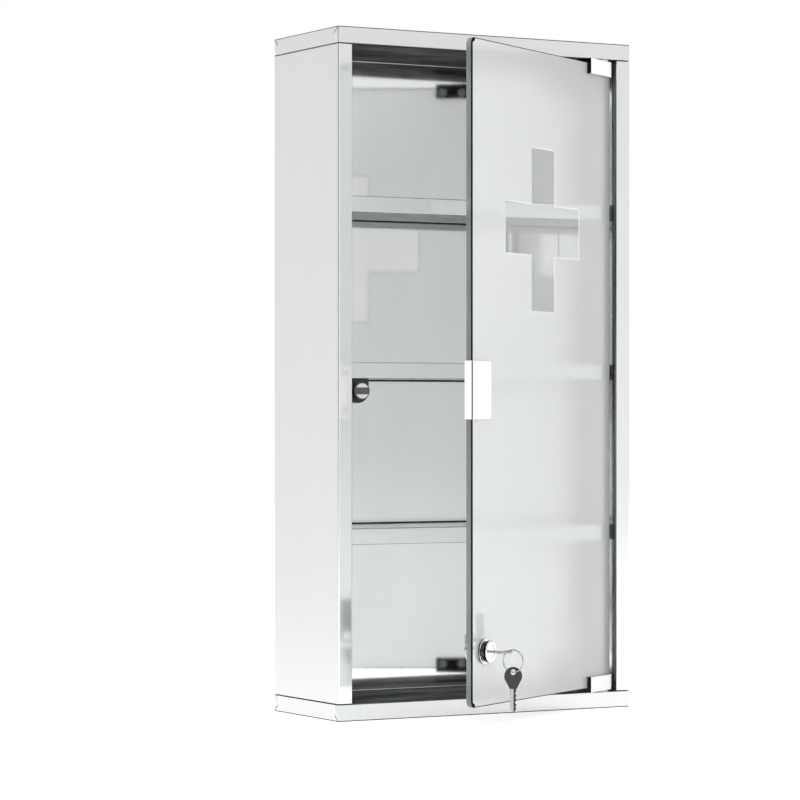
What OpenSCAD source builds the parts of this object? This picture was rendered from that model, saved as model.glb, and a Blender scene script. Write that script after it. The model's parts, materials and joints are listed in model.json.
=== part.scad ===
// Wall cabinet in folded stainless sheet, with three fixed shelves and a
// frosted glass door. The door turns on two pivot clips, closes on a magnet
// and locks with a cam lock. It is drawn standing open by door_open degrees.
// X runs to the right, Y to the back and Z up. The origin is the centre of
// the cabinet's underside. Sizes are in millimetres.

/* [Cabinet body] */
// Overall width of the body
body_w = 298.5; // [240:0.5:400]
// Overall height of the body
body_h = 597; // [560:1:700]
// Overall depth of the body
body_d = 120.5; // [100:0.5:180]
// Thickness of the stainless sheet
sheet_t = 0.8; // [0.6:0.1:1]
// Outside radius of each bend in the sheet
bend_r = 1.4; // [1.2:0.1:2]
// Height of the bands round the top and the bottom
band_h = 14.5; // [12:0.5:20]
// Width of the front flanges beside the opening
flange_w = 14; // [11:0.5:18]
// Depth of the return lip behind each front flange
lip_d = 8.5; // [6:0.5:9]
// Gap that lets one folded tray slide into another
nest_gap = 0.1; // [0.05:0.05:0.3]

/* [Wall fixing] */
// Distance between the wall screws across the back
wall_hole_dx = 220; // [120:5:230]
// Distance between the wall screws up the back
wall_hole_dz = 480; // [300:5:500]
// Diameter of each wall screw hole
wall_hole_d = 6; // [4:0.5:8]

/* [Shelves] */
// Height of the lowest shelf's top face above the underside
first_shelf_z = 165; // [150:1:175]
// Distance from one shelf to the next
shelf_pitch = 144; // [130:1:150]
// Height of the lips along a shelf's front and back edges
shelf_lip_h = 14.2; // [12:0.1:16]
// Distance from the cabinet's front to a shelf's front edge
shelf_setback = 16.5; // [14.5:0.5:25]
// Gap round a shelf's sides and back
shelf_gap = 0.4; // [0.2:0.1:1]
// Width of the leg that carries a shelf on each rail
rail_leg = 9; // [6:0.5:12]
// Height of a rail's leg on the side wall
rail_h = 11; // [8:0.5:11.5]
// Distance from a rail's ends to the shelf's front and back
rail_end = 6; // [3:1:20]

/* [Door] */
// Angle that the door stands open in this drawing
door_open = 31.5; // [0:0.5:90]
// Thickness of the door glass
glass_t = 5; // [4:0.5:5]
// Distance from the cabinet's front to the pivot axis
pivot_depth = 5.7; // [5.7:0.1:6.5]
// Corner radius of the glass
glass_r = 6; // [3:0.5:10]
// Gap between the glass's free edge and the opening
edge_gap = 2.6; // [2.5:0.1:4]
// Distance from the opening's edge to the pivot axis
pivot_inset = 12; // [12:0.1:14]
// Length of glass past the pivot axis
glass_tail = 10; // [6:0.5:10]

/* [Hinge clips] */
// Length of a hinge clip along the glass
clip_len = 41.5; // [36:0.5:60]
// Height of a hinge clip
clip_h = 14; // [12:0.5:18]
// Thickness of a hinge clip's cheeks
clip_cheek = 3.6; // [1.5:0.1:4]
// Thickness of the web over the glass edge
clip_web = 3; // [2.5:0.1:4]
// Radius along a clip's long edges
clip_edge_r = 0.8; // [0.4:0.1:1]
// Length of a clip past the pivot axis
clip_tail = 5.5; // [5:0.1:9]
// Thickness of the rubber between a clip and the glass
liner_t = 0.5; // [0.3:0.1:0.6]
// Diameter of the pivot pin
pin_d = 5; // [4:0.5:6]
// Length of pin that stands out of a clip
pin_out = 7; // [5:0.5:9]
// Radial running clearance of the pivot pin
pin_play = 0.05; // [0.03:0.01:0.08]
// Outside diameter of the pivot bush
bush_d = 9; // [8:0.5:9]
// Diameter of the bush's flange
bush_flange_d = 11; // [10:0.5:11]
// Thickness of the bush's flange
bush_flange_t = 1; // [0.8:0.1:1.5]
// Gap between a clip and the bush's flange
clip_gap = 0.6; // [0.4:0.1:1]
// Diameter of the clamp screws' shanks
clamp_d = 4; // [3:0.5:5]
// Diameter of the clamp screws' heads
clamp_head_d = 7.5; // [6:0.5:8]
// Height of the clamp screws' heads
clamp_head_h = 1.6; // [1.2:0.1:2]
// Distance between a clip's two clamp screws
clamp_dx = 18; // [12:0.5:24]

/* [Handle and catch] */
// Width of the handle over the glass
handle_w = 34; // [26:0.5:44]
// Height of the handle
handle_h = 49; // [40:0.5:70]
// Thickness of the handle's steel
handle_t = 1.1; // [0.8:0.1:1.1]
// Thickness of the rubber inside the handle
handle_liner_t = 0.4; // [0.2:0.1:0.5]
// Corner radius of the handle's plates
handle_r = 3; // [1:0.5:6]
// Distance from the middle shelf's top down to the handle's middle
handle_drop = 25; // [24:0.5:30]
// Distance from the handle's middle to each grub screw
handle_screw_dz = 17; // [14:0.5:20]
// Diameter of the handle's grub screws
grub_d = 4; // [3:0.5:5]
// Diameter of the catch's magnet
magnet_d = 15; // [12:0.5:18]
// Thickness of the catch's magnet
magnet_t = 2.4; // [2:0.1:3]
// Gap between the magnet and the closed handle
magnet_gap = 0.4; // [0.3:0.1:1]
// Width of the catch's housing
catch_w = 21; // [18:0.5:26]
// Length of the catch's foot under the shelf
catch_foot = 32; // [26:1:44]
// Thickness of the catch's foot
catch_foot_t = 3; // [2:0.5:5]
// Distance from the opening's edge to the magnet's centre
catch_inset = 15; // [14:0.5:20]

/* [Lock] */
// Distance from the glass's free edge to the lock's axis
lock_inset = 21.5; // [19:0.5:30]
// Distance from the glass's lower edge to the lock's axis
lock_rise = 46; // [40:0.5:80]
// Diameter of the lock's base ring
lock_base_d = 21.5; // [19:0.5:26]
// Thickness of the lock's base ring
lock_base_t = 1.5; // [1:0.1:2.5]
// Diameter of the lock's face
lock_face_d = 18.6; // [16:0.2:20]
// Distance that the lock stands out of the glass
lock_out = 7.5; // [5:0.5:10]
// Diameter of the lock's barrel through the glass
barrel_d = 15.6; // [14:0.2:15.8]
// Gap round the barrel in the glass
barrel_gap = 0.3; // [0.2:0.1:0.6]
// Thickness of the nut behind the glass
nut_t = 7; // [4:0.5:7]
// Diameter of the turning plug
plug_d = 11; // [9:0.2:12]
// Radial running clearance of the plug
plug_play = 0.06; // [0.03:0.01:0.09]
// Thickness of the cam
cam_t = 2; // [1.5:0.1:2.5]
// Width of the cam
cam_w = 13; // [11:0.5:15]
// Distance from the lock's axis to the cam's tip
cam_reach = 32; // [30:0.5:34]

/* [Keys] */
// Length of a key's blade from the shoulder to the tip
blade_len = 19; // [14:0.5:19]
// Width of a key's blade
blade_w = 5; // [4:0.2:7]
// Thickness of a key's blade
blade_t = 1.5; // [1.2:0.1:1.8]
// Diameter of a key's round head
head_d = 15.5; // [13:0.5:18]
// Thickness of a key's head
head_t = 1.6; // [1.4:0.1:2]
// Distance from the shoulder to the head's centre
head_reach = 10.5; // [9:0.5:12]
// Distance from the head's centre to its ring hole
ring_hole_up = 3.2; // [2.5:0.1:3.5]
// Diameter of the ring hole
ring_hole_d = 4.8; // [4.6:0.1:5]
// Radius of the key ring, to the middle of its wire
ring_r = 9.3; // [8.5:0.1:14]
// Diameter of the key ring's wire
ring_wire_d = 1.1; // [0.8:0.1:1.2]
// Slope of the ring where it passes the key in the lock
ring_slope = 50; // [35:1:50]
// Turn of the spare key about the vertical, from the ring's plane
spare_turn = 45; // [45:1:90]

/* [Hidden] */
$fn = 64;

cut = 1;                                  // how far a cutter runs past a face
skin = 0.01;                              // the same where a face is close behind
half_w = body_w / 2;
front_y = -body_d / 2;
back_y = body_d / 2;
wall_x = half_w - sheet_t;                // inner face of a side wall
back_panel_y = back_y - 2 * sheet_t;      // inner face of the back panel
inner_r = bend_r - sheet_t;
back_panel_x = wall_x - inner_r;          // the panel ends where the bends begin

opening_x = half_w - flange_w;            // half width of the front opening
opening_z0 = band_h;
opening_z1 = body_h - band_h;

pivot_x = opening_x - pivot_inset;
pivot_y = front_y + pivot_depth;
glass_front_y = pivot_y - glass_t / 2;
glass_back_y = pivot_y + glass_t / 2;
glass_x0 = -opening_x + edge_gap;
glass_x1 = pivot_x + glass_tail;
clip_top = opening_z1 - bush_flange_t - clip_gap;
clip_z = clip_top - clip_h;
glass_z1 = clip_top - clip_web - liner_t;
glass_z0 = body_h - glass_z1;
clip_channel = glass_t + 2 * liner_t;
clip_w = clip_channel + 2 * clip_cheek;
clip_x0 = pivot_x + clip_tail - clip_len;
clamp_mid_x = clip_x0 + (pivot_x - bush_d / 2 - clip_x0) / 2;
clamp_z = clip_z + (clip_h - clip_web) / 2;
bush_bore_r = pin_d / 2 + pin_play;
bush_top = opening_z1 + pin_out;
bush_room = 1;                            // room beside the bush in the tray's upstand

shelf_count = 3;                          // one rail pair under each
function shelf_z(i) = first_shelf_z + i * shelf_pitch;
door_clear = 0.4;                         // from the glass's tail to the shelves as it swings
tail_y = pivot_y + norm([glass_tail, glass_t / 2]);
shelf_y0 = max(front_y + shelf_setback, tail_y + door_clear);
shelf_y1 = back_panel_y - shelf_gap;
shelf_x = wall_x - shelf_gap;

handle_z = shelf_z(1) - handle_drop;
handle_wrap = handle_t + handle_liner_t;
handle_back_y = glass_back_y + handle_wrap;
handle_x0 = glass_x0 - handle_wrap;
grub_x = handle_x0 + handle_w * 0.6;
grub_head_h = 1.4;
slot_w = 1;                               // width of the driver slots

catch_x = -opening_x + catch_inset;
magnet_y0 = handle_back_y + magnet_gap;
catch_y0 = shelf_y0 + sheet_t + shelf_gap;
catch_d = 10;                             // depth of the housing's round front
catch_y1 = catch_y0 + catch_d;
pole_t = 0.3;                             // how far the steel poles stand proud
pole_band = 6;                            // dark band left between the poles
catch_nose_d = magnet_d - 2;
catch_screw_d = 3;
catch_screw_head_d = 5.5;
catch_screw_head_h = 1.8;
catch_screw_dx = catch_w / 2 - 4.5;
catch_screw_y = catch_y0 + catch_foot - 5;

lock_x = glass_x0 + lock_inset;
lock_z = glass_z0 + lock_rise;
lock_face_y = glass_front_y - lock_out;
washer_t = 0.5;
washer_inset = 0.5;
thread_gap = 0.1;                         // radial room of the washer and the nut
nut_slot = 3;                             // side of the nut's spanner slots
nut_y = glass_back_y + 0.2;
barrel_end_y = nut_y + nut_t + 0.1;
cam_y = barrel_end_y + 0.3;
tip_y = max(glass_back_y + 1.2, front_y + lip_d + 1);   // front of the cam's tip
crank_z = lock_base_d / 2 + 1;            // height where the cam steps forwards
stud_d = 6;
stud_flat = 4.4;                          // width across the stud's flats
plug_recess = 0.3;
cam_r = 2;
cam_head_d = 8;
cam_head_h = 2;
key_fit = 0.12;                           // room round the blade in the keyway
keyway_end_y = cam_y - 0.8;               // closed end of the keyway
blade_in = min(blade_len, keyway_end_y - lock_face_y - 0.5);
key_shoulder_y = lock_face_y - 0.4;
ring_hole_out = head_reach + ring_hole_up;
neck_w = blade_w + 1.2;                   // width of a head at its shoulder
neck_turn = 38;                           // where the shoulder's slope meets the head

ring_hole_y = key_shoulder_y - ring_hole_out;
ring_y = ring_hole_y - ring_r * cos(ring_slope);
ring_z = lock_z - ring_r * sin(ring_slope);
spare_hole_z = ring_z - ring_r;

steel = "#c9ccce";
steel_dark = "#a9adb0";
chrome = "#e2e4e6";
black = "#2a2a2b";

// Rectangle with round corners, from its lower left corner
module rrect(corner, size, r) {
    translate(corner + [r, 0])
        square([size.x - 2 * r, size.y]);
    translate(corner + [0, r])
        square([size.x, size.y - 2 * r]);
    for (x = [r, size.x - r], y = [r, size.y - r])
        translate(corner + [x, y])
            circle(r);
}

// Extrudes a profile drawn in Y and Z along X
module along_x(x0, length)
    translate([x0, 0, 0])
        rotate([90, 0, 90])
            linear_extrude(length)
                children();

// Extrudes a profile drawn in X and Z towards the back, from y0 to y1
module along_y(y0, y1)
    translate([0, y1, 0])
        rotate([90, 0, 0])
            linear_extrude(y1 - y0)
                children();

// Round bar along Y
module rod_y(x, z, d, y0, y1)
    translate([x, y1, z])
        rotate([90, 0, 0])
            cylinder(d = d, h = y1 - y0);

// Repeats a piece of the top of the cabinet at the bottom
module lower_twin()
    translate([0, 0, body_h])
        mirror([0, 0, 1])
            children();

// Swings the closed door out to where it stands
module on_door()
    translate([pivot_x, pivot_y, 0])
        rotate([0, 0, door_open])
            translate([-pivot_x, -pivot_y, 0])
                children();

// ---- Folded sheet body ----

// Plan of the left side: wall, front flange with its lip, and back flange
module side_plan() {
    difference() {
        rrect([-half_w, front_y], [flange_w, body_d], bend_r);
        rrect([-wall_x, front_y + sheet_t],
              [flange_w - 2 * sheet_t, body_d - 2 * sheet_t], inner_r);
        translate([-opening_x - bend_r, front_y + lip_d])
            square([bend_r + cut, body_d]);
    }
}

module side_panel() {
    translate([0, 0, opening_z0])
        linear_extrude(opening_z1 - opening_z0)
            side_plan();
}

module left_side_panel() {
    color(steel)
        side_panel();
}

module right_side_panel() {
    color(steel)
        mirror([1, 0, 0])
            side_panel();
}

module back_panel() {
    color(steel_dark)
        difference() {
            translate([-back_panel_x, back_panel_y, opening_z0])
                cube([2 * back_panel_x, sheet_t, opening_z1 - opening_z0]);
            for (x = [-1, 1], z = [-1, 1])
                rod_y(x * wall_hole_dx / 2, body_h / 2 + z * wall_hole_dz / 2,
                      wall_hole_d, back_panel_y - cut, back_y);
        }
}

// Outer tray that closes the top, with a skirt on all four sides
module cap_tray() {
    difference() {
        translate([0, 0, opening_z1])
            linear_extrude(band_h)
                rrect([-half_w, front_y], [body_w, body_d], bend_r);
        translate([0, 0, opening_z1 - cut])
            linear_extrude(band_h - sheet_t + cut)
                rrect([-wall_x, front_y + sheet_t],
                      [2 * wall_x, body_d - 2 * sheet_t], inner_r);
    }
}

module top_cap() {
    color(steel)
        cap_tray();
}

module bottom_cap() {
    color(steel)
        lower_twin()
            cap_tray();
}

// Inner tray that nests in the cap and carries the pivot bush
module liner_tray() {
    tray_x = wall_x - nest_gap;
    tray_y0 = front_y + sheet_t + nest_gap;
    tray_d = body_d - 2 * (sheet_t + nest_gap);
    tray_h = band_h - sheet_t - nest_gap;
    difference() {
        translate([0, 0, opening_z1])
            linear_extrude(tray_h)
                rrect([-tray_x, tray_y0], [2 * tray_x, tray_d], inner_r);
        translate([0, 0, opening_z1 + sheet_t])
            linear_extrude(tray_h)
                translate([-tray_x + sheet_t, tray_y0 + sheet_t])
                    square([2 * (tray_x - sheet_t), tray_d - 2 * sheet_t]);
        translate([pivot_x, pivot_y, opening_z1 - cut])
            cylinder(d = bush_d, h = sheet_t + 2 * cut);
        bush_relief(tray_y0);
    }
}

// Opens the tray's front upstand where the pivot bush stands close behind it
module bush_relief(tray_y0)
    translate([pivot_x - bush_d / 2 - bush_room, tray_y0 - cut, opening_z1 + sheet_t])
        cube([bush_d + 2 * bush_room, sheet_t + cut + skin, band_h]);

module ceiling_panel() {
    color(steel_dark)
        liner_tray();
}

module floor_panel() {
    color(steel_dark)
        lower_twin()
            liner_tray();
}

// ---- Shelves ----

// Shelf folded down along the front and the back
module shelf(i) {
    under = shelf_z(i) - shelf_lip_h;
    shelf_d = shelf_y1 - shelf_y0;
    color(steel)
        along_x(-shelf_x, 2 * shelf_x)
            difference() {
                rrect([shelf_y0, under - bend_r], [shelf_d, shelf_lip_h + bend_r], bend_r);
                translate([shelf_y0 + sheet_t, under - bend_r - cut])
                    square([shelf_d - 2 * sheet_t, shelf_lip_h + bend_r - sheet_t + cut]);
                translate([shelf_y0 - cut, under - bend_r - cut])
                    square([shelf_d + 2 * cut, bend_r + cut]);
            }
}

module lower_shelf() {
    shelf(0);
}

module middle_shelf() {
    shelf(1);
}

module upper_shelf() {
    shelf(2);
}

// Angles welded to the left wall, one under each shelf
module side_rails() {
    rail_y0 = shelf_y0 + rail_end;
    rail_len = shelf_y1 - rail_end - rail_y0;
    for (i = [0 : shelf_count - 1]) {
        top = shelf_z(i) - sheet_t;
        translate([-wall_x, rail_y0, top - sheet_t])
            cube([rail_leg, rail_len, sheet_t]);
        translate([-wall_x, rail_y0, top - rail_h])
            cube([sheet_t, rail_len, rail_h]);
    }
}

module left_shelf_rails() {
    color(steel_dark)
        side_rails();
}

module right_shelf_rails() {
    color(steel_dark)
        mirror([1, 0, 0])
            side_rails();
}

// ---- Magnet catch under the middle shelf ----

module catch_screw_at(x, d, z0, z1)
    translate([catch_x + x, catch_screw_y, z0])
        cylinder(d = d, h = z1 - z0);

module catch_housing() {
    under = shelf_z(1) - sheet_t;
    color(black)
        difference() {
            union() {
                along_y(catch_y0, catch_y1) {
                    translate([catch_x, handle_z])
                        circle(d = catch_w);
                    translate([catch_x - catch_w / 2, handle_z])
                        square([catch_w, under - handle_z]);
                }
                translate([catch_x - catch_w / 2, catch_y0, under - catch_foot_t])
                    cube([catch_w, catch_foot, catch_foot_t]);
                rod_y(catch_x, handle_z, catch_nose_d, magnet_y0 + magnet_t, catch_y0 + cut);
            }
            for (x = [-catch_screw_dx, catch_screw_dx])
                catch_screw_at(x, catch_screw_d, under - catch_foot_t - cut, under + cut);
        }
}

module catch_magnet() {
    color("#4a4b4c")
        rod_y(catch_x, handle_z, magnet_d, magnet_y0 + pole_t, magnet_y0 + magnet_t);
}

// Two steel pole faces with a dark band between them
module catch_poles() {
    color(chrome)
        along_y(magnet_y0, magnet_y0 + pole_t)
            difference() {
                translate([catch_x, handle_z])
                    circle(d = magnet_d - 2);
                translate([catch_x - magnet_d / 2, handle_z - pole_band / 2])
                    square([magnet_d, pole_band]);
            }
}

module catch_screws() {
    under = shelf_z(1) - sheet_t;
    color(steel)
        for (x = [-catch_screw_dx, catch_screw_dx]) {
            catch_screw_at(x, catch_screw_head_d,
                           under - catch_foot_t - catch_screw_head_h, under - catch_foot_t);
            catch_screw_at(x, catch_screw_d, under - catch_foot_t, under);
        }
}

// ---- Pivots ----

// Flanged bush in the ceiling, closed at its far end
module pivot_bush() {
    translate([pivot_x, pivot_y, 0])
        difference() {
            union() {
                translate([0, 0, opening_z1])
                    cylinder(d = bush_d, h = bush_top - opening_z1);
                translate([0, 0, opening_z1 - bush_flange_t])
                    cylinder(d = bush_flange_d, h = bush_flange_t);
            }
            translate([0, 0, opening_z1 - bush_flange_t - cut])
                cylinder(r = bush_bore_r, h = pin_out + cut);
        }
}

module pivot_bushes() {
    color("ivory") {
        pivot_bush();
        lower_twin()
            pivot_bush();
    }
}

module pivot_pin()
    translate([pivot_x, pivot_y, clip_top - clip_web])
        cylinder(d = pin_d, h = clip_web + pin_out - clip_gap);

module pivot_pins() {
    color(steel)
        on_door() {
            pivot_pin();
            lower_twin()
                pivot_pin();
        }
}

// ---- Door ----

module door_glass() {
    color("#dfe5e4", 0.6)
        on_door()
            difference() {
                along_y(glass_front_y, glass_back_y)
                    rrect([glass_x0, glass_z0],
                          [glass_x1 - glass_x0, glass_z1 - glass_z0], glass_r);
                rod_y(lock_x, lock_z, barrel_d + 2 * barrel_gap,
                      glass_front_y - cut, glass_back_y + cut);
            }
}

// Channel that a clip or its rubber makes round the glass edge
module edge_channel(inner_w, z0, z1, web) {
    difference() {
        children();
        translate([pivot_y - inner_w / 2, z0 - cut])
            square([inner_w, z1 - web - z0 + cut]);
    }
}

module hinge_clip() {
    difference() {
        along_x(clip_x0, clip_len)
            edge_channel(clip_channel, clip_z, clip_top, clip_web)
                rrect([pivot_y - clip_w / 2, clip_z], [clip_w, clip_h], clip_edge_r);
        translate([pivot_x, pivot_y, clip_top - clip_web - cut])
            cylinder(d = pin_d, h = clip_web + 2 * cut);
        for (x = [-clamp_dx / 2, clamp_dx / 2])
            rod_y(clamp_mid_x + x, clamp_z, clamp_d, pivot_y + clip_channel / 2 - skin,
                  pivot_y + clip_w / 2 + cut);
    }
}

module top_hinge_clip() {
    color(chrome)
        on_door()
            hinge_clip();
}

module bottom_hinge_clip() {
    color(chrome)
        on_door()
            lower_twin()
                hinge_clip();
}

module hinge_liner() {
    liner_top = clip_top - clip_web;
    along_x(clip_x0, clip_len)
        edge_channel(glass_t, clip_z, liner_top, liner_t)
            translate([pivot_y - clip_channel / 2, clip_z])
                square([clip_channel, liner_top - clip_z]);
}

module hinge_liners() {
    color("#55585a")
        on_door() {
            hinge_liner();
            lower_twin()
                hinge_liner();
        }
}

// Clamp screws of one clip, with a driver slot across each head
module clamp_screws() {
    shank_y = pivot_y + clip_channel / 2;
    head_y = pivot_y + clip_w / 2;
    for (x = [-clamp_dx / 2, clamp_dx / 2])
        difference() {
            union() {
                rod_y(clamp_mid_x + x, clamp_z, clamp_d, shank_y, head_y + skin);
                rod_y(clamp_mid_x + x, clamp_z, clamp_head_d, head_y, head_y + clamp_head_h);
            }
            translate([clamp_mid_x + x - clamp_head_d / 2, head_y + clamp_head_h / 2,
                       clamp_z - slot_w / 2])
                cube([clamp_head_d, clamp_head_h, slot_w]);
        }
}

module hinge_screws() {
    color(steel)
        on_door() {
            clamp_screws();
            lower_twin()
                clamp_screws();
        }
}

// ---- Handle, clipped over the glass's free edge ----

// Plan of a U of wall t that opens to the right, outside size given by its lip
module u_plan(x0, width, lip, t) {
    difference() {
        rrect([x0, glass_front_y - lip], [width + t, glass_t + 2 * lip], t);
        translate([x0 + t, glass_front_y - lip + t])
            square([width + t, glass_t + 2 * (lip - t)]);
        translate([x0 + width, glass_front_y - lip - cut])
            square([2 * t + cut, glass_t + 2 * (lip + cut)]);
    }
}

module handle_face(x0, width, height)
    along_y(glass_front_y - handle_wrap - cut, handle_back_y + cut) {
        rrect([x0, handle_z - height / 2], [width, height], handle_r);
        translate([x0, handle_z - height / 2])
            square([width / 2, height]);
    }

module door_handle() {
    color(chrome)
        on_door()
            difference() {
                intersection() {
                    translate([0, 0, handle_z - handle_h / 2])
                        linear_extrude(handle_h)
                            u_plan(handle_x0, handle_w, handle_wrap, handle_t);
                    handle_face(handle_x0, handle_w, handle_h);
                }
                for (z = [-handle_screw_dz, handle_screw_dz])
                    rod_y(grub_x, handle_z + z, grub_d,
                          glass_back_y + handle_liner_t - skin, handle_back_y + cut);
            }
}

module handle_liner() {
    color("#55585a")
        on_door()
            intersection() {
                translate([0, 0, handle_z - handle_h / 2])
                    linear_extrude(handle_h)
                        u_plan(glass_x0 - handle_liner_t, handle_w - handle_t,
                               handle_liner_t, handle_liner_t);
                handle_face(handle_x0, handle_w, handle_h);
            }
}

module handle_screws() {
    color(steel)
        on_door()
            for (z = [-handle_screw_dz, handle_screw_dz])
                difference() {
                    rod_y(grub_x, handle_z + z, grub_d,
                          glass_back_y + handle_liner_t, handle_back_y + grub_head_h);
                    translate([grub_x - grub_d / 2, handle_back_y + grub_head_h / 2,
                               handle_z + z - slot_w / 2])
                        cube([grub_d, grub_head_h, slot_w]);
                }
}

// ---- Lock ----

// Front of the lock turned in one piece with the barrel
module lock_turning() {
    base_y = lock_out - washer_t;         // heights are measured from the face
    rim = 0.8;
    base_rim = 0.4;
    rotate_extrude()
        polygon([
            [0, 0],
            [lock_face_d / 2 - rim, 0],
            [lock_face_d / 2, rim],
            [lock_face_d / 2, lock_out * 0.45],
            [lock_face_d / 2 - rim, lock_out * 0.55],
            [lock_face_d / 2 - rim, base_y - lock_base_t],
            [lock_base_d / 2 - base_rim, base_y - lock_base_t],
            [lock_base_d / 2, base_y - lock_base_t + base_rim],
            [lock_base_d / 2, base_y],
            [barrel_d / 2, base_y],
            [barrel_d / 2, barrel_end_y - lock_face_y],
            [0, barrel_end_y - lock_face_y]
        ]);
}

module lock_body() {
    color(chrome)
        on_door()
            difference() {
                translate([lock_x, lock_face_y, lock_z])
                    rotate([-90, 0, 0])
                        lock_turning();
                rod_y(lock_x, lock_z, plug_d + 2 * plug_play, lock_face_y - cut,
                      barrel_end_y + cut);
            }
}

module lock_washer() {
    color(black)
        on_door()
            difference() {
                rod_y(lock_x, lock_z, lock_base_d - 2 * washer_inset, glass_front_y - washer_t,
                      glass_front_y);
                rod_y(lock_x, lock_z, barrel_d + 2 * thread_gap, glass_front_y - washer_t - cut,
                      glass_front_y + cut);
            }
}

// Round nut with two spanner slots
module lock_nut() {
    color(chrome)
        on_door()
            difference() {
                rod_y(lock_x, lock_z, lock_base_d, nut_y, nut_y + nut_t);
                rod_y(lock_x, lock_z, barrel_d + 2 * thread_gap, nut_y - cut, nut_y + nut_t + cut);
                for (x = [-1, 1])
                    translate([lock_x + x * lock_base_d / 2 - nut_slot / 2, nut_y - cut,
                               lock_z - nut_slot / 2])
                        cube([nut_slot, nut_t + 2 * cut, nut_slot]);
            }
}

// Plug with its keyway, and a stud with two flats for the cam
module lock_plug() {
    color(steel)
        on_door()
            difference() {
                union() {
                    rod_y(lock_x, lock_z, plug_d, lock_face_y + plug_recess, cam_y);
                    intersection() {
                        rod_y(lock_x, lock_z, stud_d, cam_y - cut, cam_y + cam_t);
                        translate([lock_x - stud_flat / 2, cam_y - cut, lock_z - stud_d])
                            cube([stud_flat, cam_t + cut, 2 * stud_d]);
                    }
                }
                translate([lock_x - blade_w / 2 - key_fit, lock_face_y - cut,
                           lock_z - blade_t / 2 - key_fit])
                    cube([blade_w + 2 * key_fit, keyway_end_y - lock_face_y + cut,
                          blade_t + 2 * key_fit]);
            }
}

// Cranked cam that stands up when unlocked, with a hole for the stud's flats
module lock_cam() {
    left = lock_x - cam_w / 2;
    color(steel)
        on_door()
            difference() {
                union() {
                    along_y(cam_y, cam_y + cam_t) {
                        translate([lock_x, lock_z])
                            circle(d = cam_w);
                        translate([left, lock_z])
                            square([cam_w, crank_z + cam_t]);
                    }
                    along_y(tip_y, cam_y + cam_t)
                        translate([left, lock_z + crank_z])
                            square([cam_w, cam_t]);
                    along_y(tip_y, tip_y + cam_t) {
                        rrect([left, lock_z + crank_z], [cam_w, cam_reach - crank_z], cam_r);
                        translate([left, lock_z + crank_z])
                            square([cam_w, cam_r]);
                    }
                }
                intersection() {
                    rod_y(lock_x, lock_z, stud_d, cam_y - cut, cam_y + cam_t + cut);
                    translate([lock_x - stud_flat / 2, cam_y - cut, lock_z - stud_d])
                        cube([stud_flat, cam_t + 2 * cut, 2 * stud_d]);
                }
            }
}

module cam_screw() {
    head_y = cam_y + cam_t;
    color(chrome)
        on_door()
            difference() {
                rod_y(lock_x, lock_z, cam_head_d, head_y, head_y + cam_head_h);
                translate([lock_x - cam_head_d / 2, head_y + cam_head_h / 2, lock_z - slot_w / 2])
                    cube([cam_head_d, cam_head_h, slot_w]);
            }
}

// ---- Keys ----
// A key is drawn in the XY plane: the tip towards -Y, the shoulder at Y = 0

function cut_depth(i) = 0.6 + 0.3 * (i % 2);

// Blade with its cuts along one edge and a narrow tip
module blade_shape(length) {
    tip = 2;
    tip_w = 2;
    cuts = 4;
    wide = 1.4;                           // half length of a cut at the blade's edge
    flat = 0.3;                           // and at its bottom
    difference() {
        union() {
            translate([-blade_w / 2, tip - length])
                square([blade_w, length - tip]);
            polygon([[-blade_w / 2, tip - length], [-tip_w / 2, -length],
                     [tip_w / 2, -length], [blade_w / 2, tip - length]]);
        }
        for (i = [1 : cuts])
            translate([blade_w / 2, -length * i / (cuts + 1)])
                polygon([[skin, wide], [-cut_depth(i), flat],
                         [-cut_depth(i), -flat], [skin, -wide]]);
    }
}

module blade_solid(length)
    translate([0, 0, -blade_t / 2])
        linear_extrude(blade_t)
            blade_shape(length);

// Round head that narrows to the shoulder, with its ring hole
module head_solid()
    translate([0, 0, -head_t / 2])
        linear_extrude(head_t)
            difference() {
                union() {
                    translate([0, head_reach])
                        circle(d = head_d);
                    polygon([
                        [-neck_w / 2, 0], [neck_w / 2, 0],
                        [head_d / 2 * cos(neck_turn), head_reach - head_d / 2 * sin(neck_turn)],
                        [-head_d / 2 * cos(neck_turn), head_reach - head_d / 2 * sin(neck_turn)]
                    ]);
                }
                translate([0, ring_hole_out])
                    circle(d = ring_hole_d);
            }

// Puts a key into the lock, flat, with its head outside
module key_in_lock()
    translate([lock_x, key_shoulder_y, lock_z])
        rotate([0, 0, 180])
            children();

module key_blade() {
    color(steel)
        on_door()
            key_in_lock()
                blade_solid(blade_in);
}

module key_head() {
    color(black)
        on_door()
            key_in_lock()
                head_solid();
}

module key_ring() {
    color(steel)
        on_door()
            translate([lock_x, ring_y, ring_z])
                rotate([0, 90, 0])
                    rotate_extrude($fn = 96)
                        translate([ring_r, 0])
                            circle(d = ring_wire_d, $fn = 16);
}

// Hangs a key by its ring hole from the bottom of the ring
module key_on_ring()
    translate([lock_x, ring_y, spare_hole_z])
        rotate([0, 0, spare_turn - 90])
            rotate([90, 0, 0])
                translate([0, -ring_hole_out, 0])
                    children();

module spare_key_blade() {
    color(steel)
        on_door()
            key_on_ring()
                blade_solid(blade_len);
}

module spare_key_head() {
    color(black)
        on_door()
            key_on_ring()
                head_solid();
}

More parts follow.
